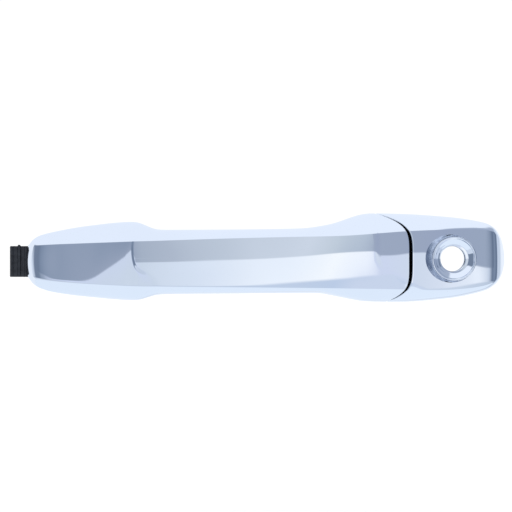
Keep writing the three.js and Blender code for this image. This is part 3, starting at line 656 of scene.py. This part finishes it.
def brass_material():
    material, principled = shader("turned_brass", (0.72, 0.56, 0.28), 0.25, 1.0)
    rings = noise(material, 800, 4, (6, 1, 6))
    tarnish = noise(material, 90, 4)
    colour = colour_mix(material, tarnish.outputs["Fac"], (0.58, 0.43, 0.2), (0.78, 0.62, 0.32))
    link(material, colour, principled.inputs["Base Color"])
    link(material, ramp(material, rings.outputs["Fac"], 0.18, 0.36), principled.inputs["Roughness"])
    bump(material, principled, rings.outputs["Fac"], 0.00002, 0.2)
    return material


def spring_steel_material():
    material, principled = shader("oiled_spring_wire", (0.3, 0.31, 0.33), 0.3, 1.0)
    drawn = noise(material, 900, 4)
    colour = colour_mix(material, drawn.outputs["Fac"], (0.22, 0.23, 0.25), (0.38, 0.39, 0.41))
    link(material, colour, principled.inputs["Base Color"])
    link(material, ramp(material, drawn.outputs["Fac"], 0.2, 0.4), principled.inputs["Roughness"])
    return material


def acetal_material():
    material, principled = shader("natural_acetal", (0.66, 0.64, 0.57), 0.4)
    grain = noise(material, 700, 5)
    colour = colour_mix(material, grain.outputs["Fac"], (0.6, 0.58, 0.51), (0.7, 0.68, 0.61))
    link(material, colour, principled.inputs["Base Color"])
    link(material, ramp(material, grain.outputs["Fac"], 0.32, 0.5), principled.inputs["Roughness"])
    bump(material, principled, grain.outputs["Fac"], 0.00004, 0.2)
    principled.inputs["Subsurface Weight"].default_value = 0.1
    return material


MATERIALS = {
    "chrome_plate": chrome_material(),
    "black_nylon": black_nylon_material(),
    "black_rubber": rubber_material(),
    "zinc_plated_steel": zinc_plate_material(),
    "zinc_die_cast": die_cast_material(),
    "brass": brass_material(),
    "spring_steel": spring_steel_material(),
    "bush_polymer": acetal_material(),
}
SLOT_OF = {row["node"]: row["material_slot"] for row in frame["record"]["subparts"]}
BODY_OF = {n: b for b, names in frame["record"]["behaviour"]["bodies"].items() for n in names}


def paint(obj, slot):
    obj.data.materials.clear()
    obj.data.materials.append(MATERIALS[slot])
    return obj


def stand_for(obj, node_name):
    """A finer piece takes a CAD node's place, body and finish."""
    paint(obj, SLOT_OF[node_name])
    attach(obj, BODY_OF[node_name])
    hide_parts(node_name)
    return obj


# ------------------------------------------------------------------ bright pieces


def grip_skin():
    """The grip's plated shell, hollow from behind, ending in the tongue that nests in the cap."""
    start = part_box("grip_outer_shell")[0].x / MM
    body = skin_from_end("grip_shell_skin", start, 0)
    room = skin_from_end("grip_room", start + WALL, WALL)
    carve(body, room)
    return stand_for(shade(body), "grip_outer_shell")


WARP_FROM = 30.0  # from here to the parting line the stations bend to follow it


def skin_from_end(name, start, inset):
    straight = np.concatenate(
        [
            eased(start, start + 6, 16, 0.8)[:-1],
            np.linspace(start + 6, -62, 26)[:-1],
            np.linspace(-62, -54, 22)[:-1],
            np.linspace(-54, WARP_FROM, 60),
        ]
    )
    seam = seam_stations(-1, inset)
    edge = seam - SEAM_ROUND * (inset == 0)
    t = np.linspace(0, 1, 44)[1:, None]
    warped = WARP_FROM + (edge[None, :] - WARP_FROM) * t
    stations = np.vstack([np.repeat(straight[:, None], loop_length(), 1), warped])
    rows = rows_between(stations, inset)
    if inset == 0:
        rows = np.vstack([rows, rolled(rows[-1], seam, 1, SEAM_ROUND)])
        rows = bowed(rows, start)
    return loft(name, rows)


def bowed(rows, end):
    """An end of the handle is bowed outwards: its corners lie further in than its middle."""
    bow = FRONT_BOW if end < 0 else REAR_BOW
    nearness = np.clip(1 - np.abs(rows[:, :, 0] - end) / bow["length"], 0, 1) ** 1.5
    away = ((rows[:, :, 2] - END_BOW["middle"]) / END_BOW["half_height"]) ** 2
    rows[:, :, 0] += nearness * (bow["shift"] + bow["reach"] * np.minimum(away, 2))
    return rows


CAP_EVEN = 0.8  # share of the cap's length with even stations; after it they close up towards the end


def cap_body(name, inset, end):
    seam = seam_stations(1, inset)
    edge = seam + SEAM_ROUND * (inset == 0)
    t = np.concatenate([np.linspace(0, CAP_EVEN, 46), np.linspace(CAP_EVEN, 1, 34)[1:]])
    rest = 1 - CAP_EVEN
    t = np.where(t > CAP_EVEN, CAP_EVEN + rest * (1 - (1 - (t - CAP_EVEN) / rest) ** 1.6), t)[:, None]
    stations = edge[None, :] + (end - edge[None, :]) * t
    rows = rows_between(stations, inset)
    if inset == 0:
        rolled_rows = rolled(rows[0], seam, -1, SEAM_ROUND)
        rows = bowed(np.vstack([rolled_rows[::-1], rows]), end)
    return loft(name, rows)


KEY = {"x": 92.6, "z": -0.6, "rim_y": -30.6, "lean": math.radians(5)}
# Heights are from the ring's rim. The painted shade on the slanted wall reaches "widening" past the radius
# and lies on faces that turn away from the key axis, with a cosine under "facing".
RECESS = {
    "x": 91.4, "radius": 12.1, "floor_radius": 10.6, "floor": -0.3, "mouth": 2.2,
    "widening": 1.6, "facing": 0.93,
}
CAP_WALL = 4.2  # thick enough for the recess
BEZEL_RADIUS = 10.5
THROAT_RADIUS = 5.95


def key_axis():
    return Vector((math.sin(KEY["lean"]), -math.cos(KEY["lean"]), 0))


def key_centre():
    return Vector((KEY["x"], KEY["rim_y"], KEY["z"])) * MM


def cap_skin():
    """The fixed cap with the round recess of its lock passage."""
    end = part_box("key_cap")[1].x / MM
    body = cap_body("key_cap_skin", 0, end)
    carve(body, cap_body("cap_room", CAP_WALL, end - CAP_WALL - 0.5))
    seat_radius = BEZEL_RADIUS + 0.05
    seat = [(0, -30), (seat_radius, -30), (seat_radius, 20), (0, 20)]
    carve(body, lathe("seat_cutter", seat, key_centre(), key_axis()))
    floor, floor_radius = RECESS["floor"], RECESS["floor_radius"]
    rise = RECESS["mouth"] - floor
    slope = (RECESS["radius"] - floor_radius) / rise
    wall = [(floor_radius + slope * rise * t, floor + rise * t) for t in (0, 0.5, 1, 1.5, 2.2)]
    dish = lathe("recess_cutter", [(0, floor), *wall, (0, wall[-1][1])], key_centre(), key_axis(), 128)
    slant = (RECESS["x"] - KEY["x"]) / rise
    for vertex in dish.data.vertices:
        height = (vertex.co - key_centre()).dot(key_axis()) / MM - floor
        vertex.co.x += slant * height * MM
    carve(body, dish)
    stand_for(shade(body), "key_cap")
    body.data.materials.append(shaded_recess_material())
    # The recess wall gets a second material, plating whose colour is painted shade.
    for polygon in body.data.polygons:
        # Faces of the slanted wall that turn away from the key axis take this painted shade.
        offset = polygon.center - key_centre()
        height = offset.dot(key_axis())
        radius = (offset - height * key_axis()).length / MM
        near = floor_radius - 0.1 < radius < RECESS["radius"] + RECESS["widening"]
        if near and height > floor * MM and polygon.normal.dot(key_axis()) < RECESS["facing"]:
            polygon.material_index = 1
    return body


# Below the dish the ring is shifted sideways, so that its throat shows a bright land on one side.
THROAT = {"top": -2.55, "bottom": -9.5, "slant": 0.65, "land": 0.3}
DISH = {"outer": 9.35, "width": 2.35, "top": -0.5, "depth": 1.99}


def bezel_ring():
    """The dished ring: a rolled rim, a shallow cone and a slanting throat."""
    shares = (0, 0.25, 0.5, 0.75, 1)
    dish = [(DISH["outer"] - DISH["width"] * t, DISH["top"] - DISH["depth"] * t) for t in shares]
    profile = [
        (THROAT_RADIUS, THROAT["bottom"]), (7.6, THROAT["bottom"]), (7.6, -7.5), (BEZEL_RADIUS, -7.5),
        *arc((BEZEL_RADIUS - 0.5, -0.5), 0.5, 0, 140, 10),
        *dish,
        (6.85, -2.55), *[(6.7 - 0.65 * t, -2.58 - 0.1 * t) for t in (0, 0.5, 1)],
        *arc((THROAT_RADIUS + 0.15, -2.9), 0.2, 110, 180, 4),
        (THROAT_RADIUS - 0.05, -6),
    ]
    ring = lathe("key_bezel_ring", profile, key_centre(), key_axis(), 160)
    for vertex in ring.data.vertices:
        depth = THROAT["top"] - (vertex.co - key_centre()).dot(key_axis()) / MM
        share = min(max(depth / THROAT["land"], 0), 1)
        vertex.co.x -= THROAT["slant"] * share * MM
    return stand_for(ring, "key_bezel")


# ------------------------------------------------------------------ carrier and mechanism


def refined(node_name, width=0.25, sharp=36, segments=2):
    """The CAD node again with its sharp edges broken, as moulding and tumbling leave them."""
    bm = bmesh.new()
    bm.from_mesh(nodes[node_name].data)
    bmesh.ops.remove_doubles(bm, verts=bm.verts, dist=WELD)
    hard = [e for e in bm.edges if len(e.link_faces) == 2 and e.calc_face_angle(0) > math.radians(sharp)]
    bmesh.ops.bevel(
        bm, geom=hard, offset=width * MM, segments=segments, profile=0.5, affect="EDGES", clamp_overlap=False
    )
    bmesh.ops.triangulate(bm, faces=[f for f in bm.faces if len(f.verts) > 4])
    mesh = bpy.data.meshes.new(node_name + "_finish")
    bm.to_mesh(mesh)
    bm.free()
    return stand_for(shade(new_object(node_name + "_finish", mesh), sharp), node_name)


def middle_of(node_name):
    low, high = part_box(node_name)
    return (low + high) / 2


def span_of(node_name, axis):
    """Where a node starts along an axis through its middle, and its length along it in millimetres."""
    low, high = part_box(node_name)
    length = abs((high - low).dot(axis))
    return middle_of(node_name) - axis * (length / 2), length / MM


def screw(node_name, towards, head_radius, head_height, shank_radius, socket):
    """A socket screw in a CAD screw's place: a cheese head with a six-sided socket and a threaded shank."""
    axis = Vector(towards)
    top, length = span_of(node_name, axis)
    pitch = 0.35 * shank_radius
    thread = []
    at = head_height + 0.6
    while at < length - 1.2:
        thread += [(shank_radius, at), (shank_radius - 0.4 * pitch, at + pitch / 2)]
        at += pitch
    profile = [
        (0, 0), (head_radius - 0.35, 0), *arc((head_radius - 0.35, 0.35), 0.35, -90, 0, 5),
        (head_radius, head_height), (shank_radius, head_height), *thread,
        (shank_radius, length - 0.9), (0.6 * shank_radius, length), (0, length),
    ]
    piece = lathe(node_name + "_finish", profile, top, axis, 40)
    depth = 0.62 * head_height
    recess = [(0, -1), (socket, -1), (socket, depth), (0, depth + 0.3)]
    carve(piece, lathe("socket_cutter", recess, top, axis, 6))
    return stand_for(shade(piece, 40), node_name)


def turned(node_name, towards, profile, steps=64):
    """A turned piece in a CAD node's place; the profile is a function of its length."""
    axis = Vector(towards)
    start, length = span_of(node_name, axis)
    return stand_for(lathe(node_name + "_finish", profile(length), start, axis, steps), node_name)


def pin_profile(radius):
    def profile(length):
        return [(0, 0), (radius - 0.3, 0), (radius, 0.3), (radius, length - 0.3),
                (radius - 0.3, length), (0, length)]

    return profile


def headed_pin_profile(radius, head_radius, head_height):
    def profile(length):
        dome = arc((head_radius - 0.5, 0.5), 0.5, -90, 0, 5)
        shank = pin_profile(radius)(length)[3:]
        return [(0, 0), *dome, (head_radius, head_height), (radius, head_height), *shank]

    return profile


def bush_profile(outer, bore):
    def profile(length):
        return [(bore, 0.2), (bore + 0.2, 0), (outer - 0.3, 0), (outer, 0.3), (outer, length - 0.3),
                (outer - 0.3, length), (bore + 0.2, length), (bore, length - 0.2)]

    return profile


def insert_profile(outer, bore):
    """A moulded-in insert with two bands of ridges and a groove between them."""

    def profile(length):
        rings = []
        for band in (0.06, 0.58):
            for i in range(4):
                at = length * (band + 0.09 * i)
                rings += [(outer - 0.3, at), (outer, at + 0.03 * length), (outer, at + 0.06 * length)]
        return [(bore, 0), (outer - 0.3, 0), *rings, (outer - 0.3, length), (bore, length)]

    return profile


def bumper_profile(length):
    """Button head, neck through the skin and a barbed stem."""
    return [(0, 0), *arc((2.6, 0.6), 0.6, -90, -20, 5), (4.2, 0.8), (4.2, 1.85), (2.1, 1.9),
            (2.1, length - 1.2), (1.7, length - 0.2), (1.3, length), (0, length)]


SPRING = {
    "axis_y": 19, "axis_z": 10, "radius": 5.5, "wire": 0.6, "turns": 4.5, "from_x": 73.7, "to_x": 69,
    "leg": 9.5, "leg_steps": 8, "turn_steps": 40,
}


def spring_path():
    """The wire's middle line: a straight leg, the turns, and the other leg."""
    y, z, radius, leg = SPRING["axis_y"], SPRING["axis_z"], SPRING["radius"], SPRING["leg"]
    first, last = math.pi / 2, math.pi / 2 + SPRING["turns"] * 2 * math.pi
    steps = SPRING["leg_steps"]
    points = [(SPRING["from_x"], y - leg * (1 - i / steps), z + radius) for i in range(steps)]
    count = int(SPRING["turns"] * SPRING["turn_steps"])
    for i in range(count + 1):
        t = i / count
        angle = first + (last - first) * t
        x = SPRING["from_x"] + (SPRING["to_x"] - SPRING["from_x"]) * t
        points.append((x, y + radius * math.cos(angle), z + radius * math.sin(angle)))
    points += [(SPRING["to_x"], y + leg * i / steps, z - radius) for i in range(1, steps + 1)]
    return [Vector(p) * MM for p in points]


def wire_mesh(name, path, radius, sides=14):
    bm = bmesh.new()
    rings = []
    side = Vector((1, 0, 0))
    for i, point in enumerate(path):
        ahead = (path[min(i + 1, len(path) - 1)] - path[max(i - 1, 0)]).normalized()
        side = (side - ahead * side.dot(ahead)).normalized()
        up = ahead.cross(side)
        ring = []
        for k in range(sides):
            a = 2 * math.pi * k / sides
            ring.append(bm.verts.new(point + (side * math.cos(a) + up * math.sin(a)) * radius * MM))
        rings.append(ring)
    for low, high in zip(rings, rings[1:]):
        for k in range(sides):
            j = (k + 1) % sides
            bm.faces.new((low[k], low[j], high[j], high[k]))
    bm.faces.new(rings[0][::-1])
    bm.faces.new(rings[-1])
    bmesh.ops.recalc_face_normals(bm, faces=bm.faces)
    mesh = bpy.data.meshes.new(name)
    bm.to_mesh(mesh)
    bm.free()
    return shade(new_object(name, mesh), 50)


def return_spring():
    """The torsion spring between the carrier and the crank, as a fixed coil of wire."""
    spring = paint(wire_mesh("return_spring_coil", spring_path(), SPRING["wire"]), "spring_steel")
    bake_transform(spring)
    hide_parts("return_spring")


def fasteners():
    small = ("grip_screw_front", "grip_screw_middle", "grip_screw_rear", "cap_screw_front", "cap_screw_rear")
    for name in small:
        screw(name, (0, -1, 0), 3, 1.3, 1.5, 1.4)
    screw("mounting_screw_front", (0, 1, 0), 5, 1.7, 3, 2.4)
    screw("cap_retaining_screw", (-1, 0, 0), 4.5, 3, 2.5, 2.2)
    turned("front_pivot_pin", (0, 0, 1), pin_profile(2.5))
    turned("crank_pin", (1, 0, 0), headed_pin_profile(2.5, 4.2, 1.5))
    turned("front_pivot_bush", (0, 0, 1), bush_profile(4, 2.8))
    turned("mounting_insert_front", (0, 1, 0), insert_profile(4.5, 3.3))
    turned("cap_screw_insert", (1, 0, 0), insert_profile(3.5, 2.8))
    turned("rest_bumper", (0, 1, 0), bumper_profile)


# ------------------------------------------------------------------ studio


FLOOR_BELOW = 0.1
FLOOR_HALF_WIDTH = 40.0


def white_floor():
    """A wide pale floor, as bright as what is behind it."""
    z = cad_box[0][2] - FLOOR_BELOW
    half = FLOOR_HALF_WIDTH
    mesh = bpy.data.meshes.new("floor")
    corners = [(-half, -half, z), (half, -half, z), (half, half, z), (-half, half, z)]
    mesh.from_pydata(corners, [], [(0, 1, 2, 3)])
    floor = new_object("floor", mesh)
    material, principled = shader("pale_floor", (0.93, 0.93, 0.93), 0.9)
    principled.inputs["Emission Color"].default_value = (1, 1, 1, 1)
    principled.inputs["Emission Strength"].default_value = 0.1
    mesh.materials.append(material)
    floor.visible_glossy = False


CAMERA_DISTANCE = 4.0
VIEW_WIDTH = 0.2406  # metres across the picture at the handle
CAMERA_OFFSET = {"x": -0.00047, "z": 0.0007}


def camera():
    low, high = cad_box
    data = bpy.data.cameras.new("camera")
    made = bpy.data.objects.new("camera", data)
    bpy.context.scene.collection.objects.link(made)
    middle = (low[0] + high[0]) / 2
    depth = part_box("grip_outer_shell")[0].y * 0.6
    made.location = (middle + CAMERA_OFFSET["x"], depth - CAMERA_DISTANCE, CAMERA_OFFSET["z"])
    made.rotation_euler = (math.pi / 2, 0, 0)
    data.angle = 2 * math.atan(0.5 * VIEW_WIDTH / CAMERA_DISTANCE)
    data.clip_end = 50
    bpy.context.scene.camera = made


def light(red, green, blue):
    """The light that polished chrome shows as this display colour, 0 to 255."""
    linear = [((v / 255 + 0.055) / 1.055) ** 2.4 if v > 10 else v / 3295 for v in (red, green, blue)]
    return [v / f for v, f in zip(linear, CHROME)]


# What surrounds the handle, by the sideways direction -1 (front end) to 1 (rear end).
ABOVE_HORIZON = [
    (-1, light(205, 218, 238)), (-0.94, light(112, 127, 152)), (-0.76, light(110, 126, 151)),
    (-0.66, light(124, 140, 166)), (-0.59, light(136, 151, 176)), (-0.52, light(148, 161, 185)),
    (-0.42, light(164, 177, 197)), (-0.3, light(172, 184, 203)), (-0.2, light(186, 198, 215)),
    (-0.1, light(201, 212, 228)), (-0.04, light(190, 203, 218)), (0.0, light(176, 190, 209)),
    (0.04, light(154, 167, 191)), (0.45, light(150, 163, 190)), (0.68, light(150, 164, 188)),
    (0.8, light(130, 145, 170)), (0.92, light(98, 114, 140)), (1, light(120, 136, 162)),
]
BELOW_HORIZON = [
    (-1, light(205, 218, 238)), (-0.94, light(112, 127, 152)), (-0.78, light(114, 130, 154)),
    (-0.65, light(150, 164, 188)), (-0.56, light(200, 212, 238)), (-0.42, light(200, 213, 231)),
    (-0.25, light(212, 224, 242)), (-0.1, light(231, 240, 253)), (-0.02, light(242, 248, 255)),
    (0.02, light(232, 240, 254)), (0.05, light(202, 213, 238)), (0.2, light(204, 216, 235)),
    (0.4, light(212, 222, 240)), (0.6, light(228, 237, 251)), (0.75, light(190, 203, 224)),
    (0.88, light(106, 122, 148)), (1, light(120, 136, 162)),
]
LOW_BAND = [
    (-1, light(205, 218, 238)), (-0.6, light(190, 203, 224)), (-0.2, light(192, 206, 228)),
    (0, light(187, 204, 230)), (0.04, light(199, 212, 235)), (0.5, light(196, 210, 230)),
    (1, light(170, 185, 208)),
]
OVERHEAD = light(225, 236, 254)
OVERHEAD_REAR = light(158, 172, 197)
UNDERNEATH = light(219, 233, 252)
BEHIND = light(226, 236, 251)
REAR_STRIP = light(190, 204, 226)
REAR_SHADE = light(104, 120, 146)


def studio():
    """A soft surround: bright above, below and behind, greyer in front, with a horizon at eye level."""
    world = bpy.data.worlds.new("studio")
    bpy.context.scene.world = world
    world.use_nodes = True
    tree = world.node_tree
    tree.nodes.clear()
    where = tree.nodes.new("ShaderNodeTexCoord")
    split = tree.nodes.new("ShaderNodeSeparateXYZ")
    tree.links.new(where.outputs["Generated"], split.inputs["Vector"])
    sideways, depth, height = split.outputs["X"], split.outputs["Y"], split.outputs["Z"]

    def plain(colour):
        made = tree.nodes.new("ShaderNodeRGB")
        made.outputs[0].default_value = (*colour, 1)
        return made.outputs[0]

    def along_x(stops):
        mapped = tree.nodes.new("ShaderNodeMapRange")
        mapped.inputs["From Min"].default_value = -1
        mapped.inputs["From Max"].default_value = 1
        tree.links.new(sideways, mapped.inputs["Value"])
        made = tree.nodes.new("ShaderNodeValToRGB")
        elements = made.color_ramp.elements
        while len(elements) < len(stops):
            elements.new(0.5)
        for element, (at, colour) in zip(elements, stops):
            element.position = (at + 1) / 2
            element.color = (*colour, 1)
        tree.links.new(mapped.outputs["Result"], made.inputs["Fac"])
        return made.outputs["Color"]

    def mix(factor, first, second):
        made = tree.nodes.new("ShaderNodeMix")
        made.data_type = "RGBA"
        tree.links.new(factor, made.inputs["Factor"])
        tree.links.new(first, made.inputs["A"])
        tree.links.new(second, made.inputs["B"])
        return made.outputs["Result"]

    def gate(source, low, high):
        mapped = tree.nodes.new("ShaderNodeMapRange")
        mapped.interpolation_type = "SMOOTHSTEP"
        mapped.inputs["From Min"].default_value = low
        mapped.inputs["From Max"].default_value = high
        tree.links.new(source, mapped.inputs["Value"])
        return mapped.outputs["Result"]

    colour = mix(gate(height, -0.33, -0.29), along_x(LOW_BAND), along_x(BELOW_HORIZON))
    colour = mix(gate(height, -0.012, 0.012), colour, along_x(ABOVE_HORIZON))
    past_rear_end = mix(gate(depth, 0.42, 0.52), plain(REAR_SHADE), plain(REAR_STRIP))
    past_rear_end = mix(gate(depth, 0.82, 0.92), past_rear_end, plain(BEHIND))
    behind = mix(gate(sideways, 0.1, -0.1), past_rear_end, plain(BEHIND))
    colour = mix(gate(depth, 0.0, 0.12), colour, behind)
    overhead = mix(gate(sideways, 0.3, 0.45), plain(OVERHEAD), plain(OVERHEAD_REAR))
    colour = mix(gate(height, 0.4, 0.5), colour, overhead)
    colour = mix(gate(height, -0.5, -0.62), colour, plain(UNDERNEATH))
    path = tree.nodes.new("ShaderNodeLightPath")
    soft_light = mix(gate(height, -0.5, 0.5), plain((0.45, 0.46, 0.48)), plain((1.2, 1.2, 1.2)))
    colour = mix(path.outputs["Is Diffuse Ray"], colour, soft_light)
    colour = mix(path.outputs["Is Camera Ray"], colour, plain((1.05, 1.05, 1.05)))
    background = tree.nodes.new("ShaderNodeBackground")
    out = tree.nodes.new("ShaderNodeOutputWorld")
    tree.links.new(colour, background.inputs["Color"])
    tree.links.new(background.outputs["Background"], out.inputs["Surface"])


camera()
studio()
white_floor()
bpy.context.scene.view_settings.view_transform = "Standard"

grip_skin()
cap_skin()
bezel_ring()
for name in (
    "base_frame", "grip_inner_shell", "front_pivot_arm", "cylinder_housing", "rod_clip",
    "rear_pull_arm", "release_crank", "counterweight", "crank_pin_clip",
):
    refined(name)
for name in ("front_gasket", "rear_gasket", "frame_seal_front", "frame_seal_rear"):
    refined(name, width=0.4, segments=3)
fasteners()
return_spring()

for name, obj in nodes.items():
    if not obj.hide_render:
        paint(obj, SLOT_OF[name])
